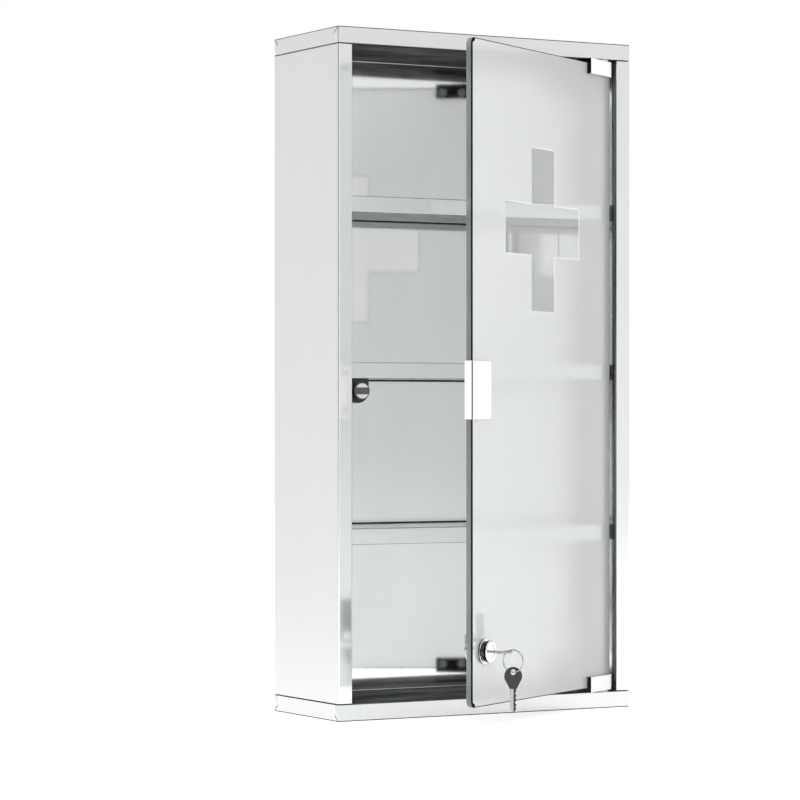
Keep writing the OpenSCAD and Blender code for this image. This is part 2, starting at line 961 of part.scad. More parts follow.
left_side_panel();
right_side_panel();
back_panel();
top_cap();
bottom_cap();
ceiling_panel();
floor_panel();
lower_shelf();
middle_shelf();
upper_shelf();
left_shelf_rails();
right_shelf_rails();
catch_housing();
catch_magnet();
catch_poles();
catch_screws();
pivot_bushes();
door_glass();
door_handle();
handle_liner();
handle_screws();
top_hinge_clip();
bottom_hinge_clip();
hinge_liners();
hinge_screws();
pivot_pins();
lock_body();
lock_washer();
lock_nut();
lock_plug();
lock_cam();
cam_screw();
key_blade();
key_head();
key_ring();
spare_key_blade();
spare_key_head();
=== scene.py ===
import json
import math

import bmesh
import bpy
from mathutils import Matrix, Vector


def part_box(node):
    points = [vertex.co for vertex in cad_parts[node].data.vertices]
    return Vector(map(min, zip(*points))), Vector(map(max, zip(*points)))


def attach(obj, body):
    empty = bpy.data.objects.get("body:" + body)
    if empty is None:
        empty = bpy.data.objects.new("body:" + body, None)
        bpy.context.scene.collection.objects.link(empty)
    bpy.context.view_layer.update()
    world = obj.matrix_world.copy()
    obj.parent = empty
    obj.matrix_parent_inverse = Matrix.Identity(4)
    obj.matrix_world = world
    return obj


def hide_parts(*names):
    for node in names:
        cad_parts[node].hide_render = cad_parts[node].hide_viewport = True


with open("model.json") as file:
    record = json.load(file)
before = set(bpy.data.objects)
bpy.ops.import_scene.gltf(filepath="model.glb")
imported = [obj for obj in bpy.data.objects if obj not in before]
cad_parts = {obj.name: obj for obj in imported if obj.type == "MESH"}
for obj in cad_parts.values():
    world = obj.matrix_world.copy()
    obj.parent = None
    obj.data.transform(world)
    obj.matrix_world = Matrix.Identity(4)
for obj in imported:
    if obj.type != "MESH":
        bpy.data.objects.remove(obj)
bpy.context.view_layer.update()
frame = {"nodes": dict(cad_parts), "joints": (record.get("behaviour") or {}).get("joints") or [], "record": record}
mm = 0.001
joints = {row["name"]: row for row in frame["joints"]}
bodyOf = {node: body for body, nodes in frame["record"]["behaviour"]["bodies"].items()
          for node in nodes}
print("frame loaded,", len(frame["nodes"]), "nodes")


camera = {
    "photoWidth": 800,         # the photograph's frame, in pixels
    "focalPixels": 3219.0,
    "centrePixel": (403.2, 415.4),
    "place": (-1.4567, -2.4889, 0.2628),
    "yaw": 29.45,              # turn from square on, in degrees
    "sensor": 36.0,
    "farthest": 50.0,          # what lies further off isn't drawn, in m
}


def makeCamera():
    data = bpy.data.cameras.new("studioCamera")
    data.sensor_width = camera["sensor"]
    data.lens = camera["focalPixels"] / camera["photoWidth"] * camera["sensor"]
    middle = camera["photoWidth"] / 2
    data.shift_x = (middle - camera["centrePixel"][0]) / camera["photoWidth"]
    data.shift_y = (camera["centrePixel"][1] - middle) / camera["photoWidth"]
    data.clip_end = camera["farthest"]
    holder = bpy.data.objects.new("studioCamera", data)
    holder.location = camera["place"]
    holder.rotation_euler = (math.pi / 2, 0, -math.radians(camera["yaw"]))
    bpy.context.scene.collection.objects.link(holder)
    bpy.context.scene.camera = holder


makeCamera()


def linearOf(hexColour):
    parts = [int(hexColour[i:i + 2], 16) / 255 for i in (1, 3, 5)]
    curve = [p / 12.92 if p <= 0.04045 else ((p + 0.055) / 1.055) ** 2.4 for p in parts]
    return (*curve, 1.0)


# a name is a socket or a property of the node, a number is a socket's place in it
def addNode(tree, kind, settings=None, links=None):
    node = tree.nodes.new(kind)
    for name, value in (settings or {}).items():
        if isinstance(name, int) or name in node.inputs:
            node.inputs[name].default_value = value
        else:
            setattr(node, name, value)
    for name, source in (links or {}).items():
        tree.links.new(source, node.inputs[name])
    return node


grainShape = {
    "low": 0.3,                # the part of the noise that is spread over a finish's range
    "high": 0.7,
    "detail": 3.0,             # finer noise on top of it, as the noise node counts it
    "rough": 0.6,              # how strong the finer noise is
    "depth": 0.05,             # height of the relief, in mm
}


# one noise, stretched to the grain's size in mm, moves a finish's colour, roughness and relief
def makeFinish(name, settings, grainSize, hexColours, roughness=None, relief=0.0):
    material = bpy.data.materials.new(name)
    material.use_nodes = True
    tree = material.node_tree
    shader = tree.nodes["Principled BSDF"]
    for key, value in settings.items():
        shader.inputs[key].default_value = value
    place = addNode(tree, "ShaderNodeTexCoord")
    stretch = addNode(tree, "ShaderNodeMapping",
                      {"Scale": [1 / (size * mm) for size in grainSize]},
                      {"Vector": place.outputs["Object"]})
    grain = addNode(tree, "ShaderNodeTexNoise",
                    {"Scale": 1.0, "Detail": grainShape["detail"],
                     "Roughness": grainShape["rough"]}, {"Vector": stretch.outputs["Vector"]})
    limits = (grainShape["low"], grainShape["high"])
    tint = addNode(tree, "ShaderNodeValToRGB", {}, {"Fac": grain.outputs["Fac"]})
    for stop, position, colour in zip(tint.color_ramp.elements, limits, hexColours):
        stop.position = position
        stop.color = linearOf(colour)
    tree.links.new(tint.outputs["Color"], shader.inputs["Base Color"])
    if roughness:
        spread = addNode(tree, "ShaderNodeMapRange",
                         {"From Min": limits[0], "From Max": limits[1],
                          "To Min": roughness[0], "To Max": roughness[1]},
                         {"Value": grain.outputs["Fac"]})
        tree.links.new(spread.outputs["Result"], shader.inputs["Roughness"])
    if relief:
        bump = addNode(tree, "ShaderNodeBump",
                       {"Strength": relief, "Distance": grainShape["depth"] * mm},
                       {"Height": grain.outputs["Fac"]})
        tree.links.new(bump.outputs["Normal"], shader.inputs["Normal"])
    return material


# name, shader settings, grain size in mm along X, Y and Z, two colours, roughness, relief;
# a pixel of the photograph is 0.9 mm, so brush lines of 0.1 mm are drawn 1.11 mm apart and
# most moulded, blasted and plated grain 0.5 to 2.5 mm wide, or it wouldn't show
metal = {"Metallic": 1.0}
plastic = {"IOR": 1.5}
finishes = {
    # 430 stainless sheet, belt brushed up and down: even satin sheen with a faint grain
    "brushed": ("brushedStainless", metal, (1.111, 1.111, 71.43), ("#ebedec", "#f0f2f1"),
                (0.30, 0.36), 0.05),
    # flanges beside the door, polished: they mirror the handle and the lock softly
    "flange": ("polishedFlange", metal, (1.111, 1.111, 71.43), ("#f0f2f1", "#f4f6f5"),
               (0.10, 0.14), 0.02),
    # the same sheet as it leaves the rolls: brighter, a soft mirror, clouds a hand wide
    "bright": ("brightRolledStainless", metal, (33.33, 33.33, 125.0), ("#f6f8f7", "#fafcfb"),
               (0.05, 0.08)),
    # shelf sheet, same roll, brushed along its length
    "shelf": ("shelfStainless", metal, (71.43, 1.111, 1.111), ("#e9eceb", "#eff2f1"),
              (0.14, 0.20), 0.03),
    # reverse of the shelf sheet: matt and pale, because it is never polished
    "reverse": ("unpolishedStainless", {"Metallic": 0.05}, (16.67, 1.111, 1.111),
                ("#f6f8f7", "#fcfdfd"), (0.45, 0.55), 0.03),
    # ceiling and floor trays: cloudy darks along the sheet are painted dark reflections, the sheet itself barely
    # shines
    "tray": ("oilBlackenedTray", {"Specular IOR Level": 0.0, "Coat Weight": 0.06,
                                  "Coat Roughness": 0.1},
             (111.1, 35.71, 35.71), ("#000000", "#6f7172"), (0.3, 0.4)),
    # buffed plug face, catch poles and the handle's inside: soft mirror
    "polished": ("polishedStainless", metal, (16.67, 16.67, 16.67), ("#fafafa", "#fdfdfd"),
                 (0.10, 0.15), 0.02),
    # plates of the handle and the clips, blasted: they scatter the light and stay white
    "blasted": ("blastedStainless", {"Metallic": 0.1}, (0.833, 0.833, 0.833),
                ("#f6f7f7", "#fcfcfc"), (0.5, 0.6), 0.05),
    # chrome plated zinc casting: hard mirror
    "chrome": ("chromePlate", metal, (12.5, 12.5, 12.5), ("#f2f3f4", "#f8f8f9"),
               (0.03, 0.06)),
    # the casting's turned flanks and the clips' dark faces: nearly black, a painted dark reflection
    "smoked": ("smokedChrome", metal, (5.0, 5.0, 5.0), ("#161717", "#2b2c2d"), (0.12, 0.2)),
    # zinc plated screw steel: slightly blue and cloudy
    "screw": ("zincPlatedSteel", metal, (1.429, 1.429, 1.429), ("#9ea3a8", "#b9bdc0"),
              (0.25, 0.38), 0.1),
    # nickel plated key brass, worn matt along the blade: warm grey, dull
    "key": ("nickelPlatedKey", metal, (2.0, 2.0, 2.0), ("#b4b1a9", "#cbc9c2"),
            (0.22, 0.36), 0.1),
    # half of a key's blade, painted dark as the shade of its milled groove
    "grooveShade": ("millingGrime", {"Metallic": 0.7}, (1.111, 1.111, 1.111),
                  ("#3a3937", "#4c4a47"), (0.4, 0.5), 0.1),
    # thin grey line along folds and cut edges of the sheet: painted shade and dark reflection; the tabs' mitres
    # share it
    "oxide": ("edgeOxide", {"Metallic": 0.5}, (3.333, 3.333, 3.333), ("#4b4e50", "#595c5e"),
              (0.45, 0.55)),
    # ground weld of a corner tab or a tray's back fold: brighter than the brushed sheet
    "weld": ("groundWeld", metal, (2.5, 2.5, 2.5), ("#fdfdfd", "#ffffff"), (0.04, 0.08)),
    # matt black line where a shelf meets the back: a painted shadow of the joint, laid as a bead
    "sealant": ("darkSealant", plastic, (1.25, 1.25, 1.25), ("#17191a", "#222526"),
                (0.6, 0.7), 0.2),
    # inner lip beside the pivots: its dark and bright streaks are a painted reflection
    "lip": ("drawnLip", metal, (3.846, 2.381, 200.0), ("#26282a", "#d6d9d9"), (0.16, 0.26)),
    # glass filled nylon: dull black with a moulded grain
    "blackNylon": ("mouldedBlackNylon", plastic, (0.625, 0.625, 0.625),
                   ("#232324", "#2c2c2d"), (0.36, 0.48), 0.12),
    # ABS key head, spark eroded mould face: dull, finely pitted
    "keyHead": ("mouldedKeyHead", plastic, (0.5, 0.5, 0.5), ("#2b2a2a", "#353433"),
                (0.42, 0.54), 0.24),
    # the same head worn smooth in the hand: it shines along its flat
    "wornHead": ("wornKeyHead", plastic, (2.0, 2.0, 2.0), ("#2b2a2a", "#353433"),
                 (0.05, 0.1), 0.02),
    # sintered ferrite magnet: dense charcoal grey
    "ferrite": ("sinteredFerrite", plastic, (0.303, 0.303, 0.303), ("#4d4f4e", "#585a59"),
                (0.44, 0.56), 0.12),
    # natural nylon bush: waxy off white
    "nylon": ("naturalNylon", plastic, (0.625, 0.625, 0.625), ("#e2dfd3", "#ebe8dd"),
              (0.34, 0.46), 0.12),
    # cut rubber sheet between glass and metal: matt dark grey
    "rubber": ("greyRubberSheet", plastic, (0.8, 0.8, 0.8), ("#2e3031", "#383a3b"),
               (0.69, 0.81), 0.24),
    # float glass acid etched on its front: milky, blurs what is behind, smooth gloss on top
    "frosted": ("acidEtchedGlass", {"Roughness": 0.36, "IOR": 1.3, "Transmission Weight": 0.5,
                                    "Coat Weight": 0.3, "Coat Roughness": 0.05},
                (1.429, 1.429, 1.429), ("#eef1f0", "#f6f8f7"), None, 0.12),
    # back of the pane: clear, only its gloss is seen
    "clear": ("clearFloatGlass", {"IOR": 1.5, "Alpha": 0.1}, (40.0, 40.0, 40.0),
              ("#eef2f0", "#f4f7f5"), (0.01, 0.03)),
    # the clear cross seen from outside keeps a breath of haze from the etching bath
    "haze": ("hazedFloatGlass", {"IOR": 1.5, "Alpha": 0.31}, (40.0, 40.0, 40.0),
             ("#f8faf9", "#fdfefd"), (0.01, 0.03)),
    # strip behind the pane beside the pivots, painted dark as the shade there: a soft dark strip through the
    # frosting
    "seal": ("bondedHingeSeal", {"IOR": 1.5, "Specular IOR Level": 0.1},
             (1.111, 1.111, 1.111), ("#232526", "#2d2f30"), (0.6, 0.7), 0.1),
    # ground and polished edge: grey green, because the eye looks along the pane
    "edge": ("polishedGlassEdge", {"IOR": 1.5, "Transmission Weight": 0.25},
             (1.111, 1.111, 33.33), ("#7d8281", "#8f9493"), (0.12, 0.22)),
    # ground corner between face and edge: painted near black as the shade of the pane's dark inside
    "arris": ("groundGlassArris", {"IOR": 1.5, "Specular IOR Level": 0.05},
              (1.111, 1.111, 16.67), ("#020202", "#080909"), (0.4, 0.55)),
    # fold between the handle's plates: a thin dark line of painted shade
    "fold": ("scaledHandleFold", {"IOR": 1.5, "Specular IOR Level": 0.05},
             (1.111, 1.111, 16.67), ("#020202", "#080909"), (0.4, 0.55)),
    # bevel cut round the clear cross: a thin line that catches the light
    "groove": ("polishedGlassGroove", {"IOR": 1.5, "Transmission Weight": 0.1},
               (2.0, 2.0, 2.0), ("#f8f9f9", "#ffffff"), (0.15, 0.25)),
    # paper white studio floor
    "floor": ("paleFloor", {"Roughness": 0.9, "Specular IOR Level": 0.0}, (50.0, 50.0, 50.0),
              ("#fefefe", "#ffffff")),
}
materials = {key: makeFinish(*row) for key, row in finishes.items()}
print("materials made,", len(materials))


# the door is drawn open, so its pieces are turned closed while they are worked on
hinge = joints["door_hinge"]
hingePlace = Vector(hinge["pos_m"])
doorOpen = -math.radians(hinge["range_deg"][0])
toClosed = (Matrix.Translation(hingePlace) @ Matrix.Rotation(-doorOpen, 4, "Z")
            @ Matrix.Translation(-hingePlace))
toOpen = toClosed.inverted()

meshing = {
    "merge": 0.002,            # corners closer than this become one, in mm
    "flat": 0.5,               # faces that meet at less become one, in degrees
    "sharp": 40.0,             # an edge that turns by more gets its softening, in degrees
    "smooth": 50.0,            # an edge that turns by less is shaded round, in degrees
    "square": 0.99,            # a face whose normal has this much of an axis is square to it
    "skin": 0.1,               # how near a face lies to the surface it belongs to, in mm
    "cut": 0.0001,             # corners this near to a cut are taken as on it, in mm
}


def mergedCopy(node):
    bm = bmesh.new()
    bm.from_mesh(frame["nodes"][node].data)
    bmesh.ops.remove_doubles(bm, verts=bm.verts[:], dist=meshing["merge"] * mm)
    bmesh.ops.dissolve_limit(bm, angle_limit=math.radians(meshing["flat"]), verts=bm.verts[:],
                             edges=bm.edges[:])
    return bm


def sharpEdges(bm, least=meshing["sharp"]):
    return [e for e in bm.edges if len(e.link_faces) == 2
            and e.calc_face_angle(0) > math.radians(least)]


def softenEdges(bm, edges, width, segments=2, clamp=True):
    made = bmesh.ops.bevel(bm, geom=edges, offset=width * mm, offset_type="OFFSET",
                           segments=segments, profile=0.5, affect="EDGES",
                           clamp_overlap=clamp, material=-1)
    return made["faces"]


def cutFaces(bm, faces, place, normal):
    parts = list(dict.fromkeys(part for f in faces for part in (f, *f.edges, *f.verts)))
    bmesh.ops.bisect_plane(bm, geom=parts, plane_co=place, plane_no=normal,
                           dist=meshing["cut"] * mm)


def paint(faces, index):
    for face in faces:
        face.material_index = index


# a piece rides with its node and has its slot, and replaces it unless it is only added to it
def finishPiece(name, bm, coats, node, replaces=True, smooth=meshing["smooth"]):
    mesh = bpy.data.meshes.new(name)
    bm.to_mesh(mesh)
    bm.free()
    for coat in coats:
        mesh.materials.append(materials[coat])
    for face in mesh.polygons:
        face.use_smooth = True
    mesh.set_sharp_from_angle(angle=math.radians(smooth))
    piece = bpy.data.objects.new(name, mesh)
    bpy.context.scene.collection.objects.link(piece)
    even = piece.modifiers.new("evenNormals", "WEIGHTED_NORMAL")
    even.keep_sharp = True
    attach(piece, bodyOf[node])
    if replaces:
        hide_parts(node)


# a softened copy of a node, because real sheet and castings have no knife edges
def dressNode(node, coat, width, edgeCoat=None):
    bm = mergedCopy(node)
    edges = softenEdges(bm, sharpEdges(bm), width) if width else []
    if edgeCoat:
        paint(edges, 1)
    finishPiece(node + "Finished", bm, [coat, edgeCoat] if edgeCoat else [coat], node)


# the same, with its finishes picked by the way each face looks
def dressByFacing(node, coats, width, pick, onDoor=True):
    bm = mergedCopy(node)
    if onDoor:
        bm.transform(toClosed)
    softenEdges(bm, sharpEdges(bm), width)
    bm.normal_update()
    for f in bm.faces:
        f.material_index = coats.index(pick(f.normal))
    if onDoor:
        bm.transform(toOpen)
    finishPiece(node + "Finished", bm, coats, node)


sidePanel = {
    "seam": 0.5,               # gap drawn in towards each cap, in mm
    "edge": 0.4,               # how far cut edges and folds are softened, in mm
    "inside": 6.6,             # the inside ends this far outside the flange's middle, in mm
    "lipDepth": 20.0,          # how far behind the front the inner lips reach, in mm
    "front": 0.5,              # how much a face of the flange looks forwards
}


def makeSidePanels():
    coats = ["brushed", "flange", "oxide", "lip"]
    for node in ("left_side_panel", "right_side_panel"):
        bm = mergedCopy(node)
        low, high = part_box(node)
        for v in bm.verts:     # opens the seam to the caps
            if v.co.z > high.z - mm:
                v.co.z -= sidePanel["seam"] * mm
            elif v.co.z < low.z + mm:
                v.co.z += sidePanel["seam"] * mm
        folds = set(softenEdges(bm, sharpEdges(bm), sidePanel["edge"]))
        bm.normal_update()
        for f in bm.faces:
            place = f.calc_center_median()
            forwards = -f.normal.y > sidePanel["front"]
            inside = abs(place.x) < abs(low.x + high.x) / 2 + sidePanel["inside"] * mm
            lip = inside and place.y < low.y + sidePanel["lipDepth"] * mm and not forwards
            # folds and cut edges get the painted shade line
            if f in folds:
                coat = "oxide"
            # the right panel's inner lip gets the painted streaked reflection
            elif lip and node == "right_side_panel":
                coat = "lip"
            else:
                coat = "flange" if forwards or inside else "brushed"
            f.material_index = coats.index(coat)
        finishPiece(node + "Finished", bm, coats, node)


cap = {
    "bend": 0.9,               # bend radius along the outer edges, in mm
    "edge": 0.4,               # how far the other edges are softened, in mm
    "square": 60.0,            # the other edges turn by more than this, in degrees
    "tabInset": 7.4,           # from a cap's corner to the weld of its tab, in mm
    "tabLine": 1.8,            # width of that weld, in mm
    "tabDepth": 0.1,           # how far it is sunk, in mm
    "tabRim": 0.06,            # width of its flanks, in mm
    "mitreDrop": 5.6,          # how far down the tab's mitre has come at the weld, in mm
    "mitreLine": 0.9,          # width of the mitre, in mm
}


def skirtFaces(bm, outerX):
    return [f for f in bm.faces if abs(f.normal.x) > meshing["square"]
            and abs(abs(f.calc_center_median().x) - outerX) < meshing["skin"] * mm]


def drawTabs(bm, low, high, outer):
    # a corner tab shows as a bright weld across the skirt, with a dark mitre to the corner
    start, line, half = cap["tabInset"] * mm, cap["tabLine"] * mm, cap["mitreLine"] / 2 * mm
    ends = ((low.y, 1), (high.y, -1))      # each end of the skirt, and the way in from it
    for end, inwards in ends:
        for step in (start, start + line):
            sides = [f for f in bm.faces if abs(f.normal.x) > meshing["square"]]
            cutFaces(bm, sides, (0, end + inwards * step, 0), (0, 1, 0))
    welds = []
    for f in skirtFaces(bm, high.x):
        along = f.calc_center_median().y
        if abs(min(along - low.y, high.y - along) - start - line / 2) < line / 2:
            welds.append(f)
    bmesh.ops.inset_region(bm, faces=welds, thickness=cap["tabRim"] * mm,
                           depth=-cap["tabDepth"] * mm)
    paint(welds, 2)
    downwards = -1 if outer == high.z else 1
    for end, inwards in ends:
        slope = Vector((0, inwards * cap["tabInset"], downwards * cap["mitreDrop"])).normalized()
        across = Vector((1, 0, 0)).cross(slope)
        corner = Vector((0, end, outer))
        for side in (-half, half):
            tab = [f for f in skirtFaces(bm, high.x)
                   if abs(f.calc_center_median().y - end) < start]
            cutFaces(bm, tab, corner + across * side, across)
        for f in skirtFaces(bm, high.x):
            centre = f.calc_center_median()
            if abs(centre.y - end) < start and abs((centre - corner).dot(across)) < half:
                f.material_index = 1


def makeCaps():
    for node in ("top_cap", "bottom_cap"):
        bm = mergedCopy(node)
        low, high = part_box(node)
        outer = high.z if node == "top_cap" else low.z
        bends = [e for e in sharpEdges(bm)
                 if all(abs(v.co.z - outer) < meshing["merge"] * mm for v in e.verts)]
        # bends and edges get the painted shade line
        paint(softenEdges(bm, bends, cap["bend"], 4), 1)
        paint(softenEdges(bm, sharpEdges(bm, cap["square"]), cap["edge"]), 1)
        bm.normal_update()
        drawTabs(bm, low, high, outer)
        finishPiece(node + "Finished", bm, ["brushed", "oxide", "weld"], node)


shelf = {
    "edge": 0.3,               # how far its edges are softened, in mm
    "brushedFace": 0.5,        # how much a brushed face looks forwards or upwards
}


def makeShelves():
    for node in ("lower_shelf", "middle_shelf", "upper_shelf"):
        bm = mergedCopy(node)
        # the shelf's softened edges get the painted shade line
        paint(softenEdges(bm, sharpEdges(bm), shelf["edge"]), 1)
        bm.normal_update()
        for f in bm.faces:
            brushed = max(-f.normal.y, f.normal.z) >= shelf["brushedFace"]
            if not f.material_index and not brushed:
                f.material_index = 2
        finishPiece(node + "Finished", bm, ["shelf", "oxide", "reverse"], node)


bead = {
    "shelf": 1.3,              # dark bead behind each shelf, a painted shadow line, in mm
    "tray": 0.8,               # weld along the back fold of the ceiling and floor trays, in mm
    "short": 6.0,              # how much shorter than its sheet a bead is, in mm
    "round": 0.3,              # its rounding, as a share of its width
}


def flatLevel(node, sign):
    # height of the widest flat face of a tray that looks into the cabinet
    level = {}
    for f in frame["nodes"][node].data.polygons:
        if f.normal.z * sign > meshing["square"]:
            height = round(f.center.z, 5)
            level[height] = level.get(height, 0) + f.area
    return max(level, key=level.get)


def layBead(bm, node, z, wide, side):
    # side is 1 for a bead that lies on top of the height z, and -1 for one below it
    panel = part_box("back_panel")[0]
    low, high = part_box(node)
    verts = bmesh.ops.create_cube(bm, size=1)["verts"]
    bmesh.ops.scale(bm, vec=Vector(((high.x - low.x) / mm - bead["short"], wide, wide)) * mm,
                    verts=verts)
    bmesh.ops.translate(bm, verts=verts,
                        vec=((low.x + high.x) / 2, panel.y - wide / 2 * mm,
                             z + side * wide / 2 * mm))


def makeBeads():
    # one bead per shelf, a painted shadow line: under its back flange, or on top of the shelf below the eye
    bm = bmesh.new()
    for node in ("lower_shelf", "middle_shelf", "upper_shelf"):
        low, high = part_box(node)
        if node == "lower_shelf":
            layBead(bm, node, high.z, bead["shelf"], 1)
        else:
            layBead(bm, node, low.z, bead["shelf"], -1)
    softenEdges(bm, bm.edges[:], bead["shelf"] * bead["round"])
    finishPiece("shelfShadowBeads", bm, ["sealant"], "lower_shelf", False)
    bm = bmesh.new()
    layBead(bm, "ceiling_panel", flatLevel("ceiling_panel", -1), bead["tray"], -1)
    layBead(bm, "floor_panel", flatLevel("floor_panel", 1), bead["tray"], 1)
    softenEdges(bm, bm.edges[:], bead["tray"] * bead["round"])
    finishPiece("trayWelds", bm, ["weld"], "ceiling_panel", False)


sheets = [
    # node, finish, softened edge in mm, the edge's finish
    ("back_panel", "bright", 0.15, None),
    # the two trays carry painted dark reflections, their fold edges are polished metal
    ("ceiling_panel", "tray", 0.3, "polished"),
    ("floor_panel", "tray", 0.3, "polished"),
    ("left_shelf_rails", "bright", 0.15, None),
    ("right_shelf_rails", "bright", 0.15, None),
]
makeSidePanels()
makeCaps()
for sheet in sheets:
    dressNode(*sheet)
makeShelves()
makeBeads()
print("cabinet body done")


glass = {
    "arris": 0.8,              # ground corner along the pane's edges, in mm
    "crossSpan": 142.0,        # overall size of the clear cross, in mm
    "crossArm": 45.0,          # width of its arms, in mm
    "crossHeight": 422.8,      # height of its centre above the cabinet's underside, in mm
    "darkRim": 2.1,            # how far the painted dark of the corner reaches onto the face, in mm
    "darkSide": 14.0,          # it does so only this near to the free edge, in mm
    "seal": 6.0,               # width of the painted shade strip behind the pane's hinge side, in mm
    "grooveWidth": 1.1,        # groove round the cross, in mm
    "grooveDepth": 0.35,
    "square": 60.0,            # the pane's edges turn by more than this, in degrees
    "smooth": 35.0,            # an edge that turns by less is shaded round, in degrees
    "arrisFace": 0.2,          # how much a face of the front corner looks forwards
}


def crossOutline(middle, front):
    span, arm = glass["crossSpan"] / 2 * mm, glass["crossArm"] / 2 * mm
    corners = [(arm, span), (arm, arm), (span, arm), (span, -arm), (arm, -arm), (arm, -span)]
    corners += [(-x, -z) for x, z in corners]
    return [(middle + x, front, glass["crossHeight"] * mm + z) for x, z in corners]


def makeGlassPane():
    coats = ["frosted", "clear", "edge", "groove", "arris", "haze", "seal"]
    bm = mergedCopy("door_glass")
    bm.transform(toClosed)
    front, back = min(v.co.y for v in bm.verts), max(v.co.y for v in bm.verts)
    left, right = min(v.co.x for v in bm.verts), max(v.co.x for v in bm.verts)
    softenEdges(bm, sharpEdges(bm, glass["square"]), glass["arris"], clamp=False)
    bm.normal_update()
    # the front is opened and filled again round the outline of the cross
    faces = [f for f in bm.faces if -f.normal.y > meshing["square"]
             and f.calc_center_median().y < front + meshing["skin"] / 2 * mm]
    ring = bmesh.ops.inset_region(bm, faces=faces, thickness=glass["darkRim"] * mm, depth=0)
    # near the free edge the ring gets the arris's painted shade
    shadedRim = {f for f in ring["faces"]
            if f.calc_center_median().x < left + glass["darkSide"] * mm}
    light = set(ring["faces"]) - shadedRim
    bmesh.ops.delete(bm, geom=faces, context="FACES_ONLY")
    rim = [e for e in bm.edges if e.is_boundary]
    points = [bm.verts.new(place) for place in crossOutline((left + right) / 2, front)]
    outline = [bm.edges.new((points[i - 1], points[i])) for i in range(len(points))]
    filled = bmesh.ops.triangle_fill(bm, edges=rim + outline, use_beauty=True,
                                     normal=(0, -1, 0))
    light |= {part for part in filled["geom"] if isinstance(part, bmesh.types.BMFace)}
    cross = bm.faces.new(points)
    bmesh.ops.recalc_face_normals(bm, faces=bm.faces[:])
    bm.normal_update()
    for f in bm.faces:
        if f in light:
            coat = "frosted"
        elif f.normal.y > meshing["square"] \
                and f.calc_center_median().y > back - meshing["skin"] * mm:
            coat = "clear"
        elif f is cross:
            coat = "haze"
        elif f in shadedRim or -f.normal.y > glass["arrisFace"]:
            coat = "arris"
        else:
            coat = "edge"
        f.material_index = coats.index(coat)
    # the back of the hinge side gets the painted shade strip
    hingeShadeFrom = right - glass["seal"] * mm
    behind = [f for f in bm.faces if f.normal.y > meshing["square"]]
    cutFaces(bm, behind, (hingeShadeFrom, 0, 0), (1, 0, 0))
    paint([f for f in bm.faces if f.normal.y > meshing["square"]
           and f.calc_center_median().x > hingeShadeFrom], coats.index("seal"))
    groove = bmesh.ops.inset_region(bm, faces=[cross], thickness=glass["grooveWidth"] * mm,
                                    depth=-glass["grooveDepth"] * mm)
    paint(groove["faces"], coats.index("groove"))
    bm.transform(toOpen)
    finishPiece("frostedPane", bm, coats, "door_glass", smooth=glass["smooth"])


makeGlassPane()
print("pane done")


fittings = [
    # node, finish, softened edge in mm
    ("catch_housing", "blackNylon", 0.5),
    ("catch_magnet", "ferrite", 0.2),
    ("catch_poles", "polished", 0.08),
    ("catch_screws", "screw", 0.15),
    ("pivot_bushes", "nylon", 0.2),
    ("handle_liner", "rubber", 0.08),
    ("handle_screws", "screw", 0.12),
    ("hinge_liners", "rubber", 0.08),
    ("hinge_screws", "screw", 0.2),
    ("pivot_pins", "screw", 0.2),
    ("lock_washer", "rubber", 0.08),
    ("lock_nut", "chrome", 0.25),
    ("lock_plug", "polished", 0.12),
    ("lock_cam", "screw", 0.2),
    ("cam_screw", "chrome", 0.2),
    ("key_blade", "key", 0.12),
    ("key_ring", "key", 0),
]
for fitting in fittings:
    dressNode(*fitting)


handle = {
    "edge": 0.8,               # how far its folds are softened, in mm
    "plate": 0.95,             # how squarely a blasted plate looks forwards or outwards
    "fold": 0.25,              # how much the fold between them looks both ways
    "level": 0.2,              # and how little up or down
}


def handleFinish(facing):
    # front and end plates blasted, a painted shade line along the fold between them
    if max(-facing.x, -facing.y) > handle["plate"]:
        return "blasted"
    if min(-facing.x, -facing.y) > handle["fold"] and abs(facing.z) < handle["level"]:
        return "fold"
    return "polished"


lock = {
    "edge": 0.12,              # how far its edges are softened, in mm
    "flank": 0.5,              # a face that looks less forwards or back than this is a flank
}


def lockFinish(facing):
    # its faces mirror the studio, its turned flanks carry a nearly black painted reflection
    return "smoked" if abs(facing.y) < lock["flank"] else "chrome"


clip = {
    "edge": 0.3,               # how far its edges are softened, in mm
    "plate": 0.8,              # how squarely a plate looks its own way
}


def clipFinish(facing):
    # front plate blasted white, back plate and the end towards the handle nearly black, a painted dark reflection
    if -facing.y > clip["plate"]:
        return "blasted"
    return "smoked" if max(-facing.x, facing.y) > clip["plate"] else "chrome"


keyPair = {
    "headEdge": 0.3,           # how far a head's edges are softened, in mm
    "rim": 0.3,                # a face of a head that looks less to its flat side is rim
    "bladeEdge": 0.12,         # how far the spare blade's edges are softened, in mm
    "grooveStart": 0.1,        # from the blade's middle to its milled half, in mm
    "lockFlat": Vector((0, 0, 1)),         # the way a key's flat side looks
    "spareFlat": Vector(joints["spare_key_swing"]["axis"]).normalized(),
}


def makeKeyHead(node, cheeks, flat):
    # plastic cheeks on a nickel plate that shows round the rim
    dressByFacing(node, [cheeks, "key"], keyPair["headEdge"],
                  lambda facing: "key" if abs(facing.dot(flat)) < keyPair["rim"] else cheeks,
                  onDoor=False)


def makeSpareBlade():
    # one half of the blade is painted dark, on both faces, as the shade of its milled groove
    along = keyPair["spareFlat"].cross(Vector((0, 0, 1))).normalized()
    if along.x < 0:
        along = -along
    start = keyPair["grooveStart"] * mm
    bm = mergedCopy("spare_key_blade")
    low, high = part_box("spare_key_blade")
    middle = (low + high) / 2
    softenEdges(bm, sharpEdges(bm), keyPair["bladeEdge"])
    cutFaces(bm, bm.faces[:], middle + along * start, along)
    bm.normal_update()
    paint([f for f in bm.faces if (f.calc_center_median() - middle).dot(along) > start], 1)
    finishPiece("spare_key_bladeFinished", bm, ["key", "grooveShade"], "spare_key_blade")


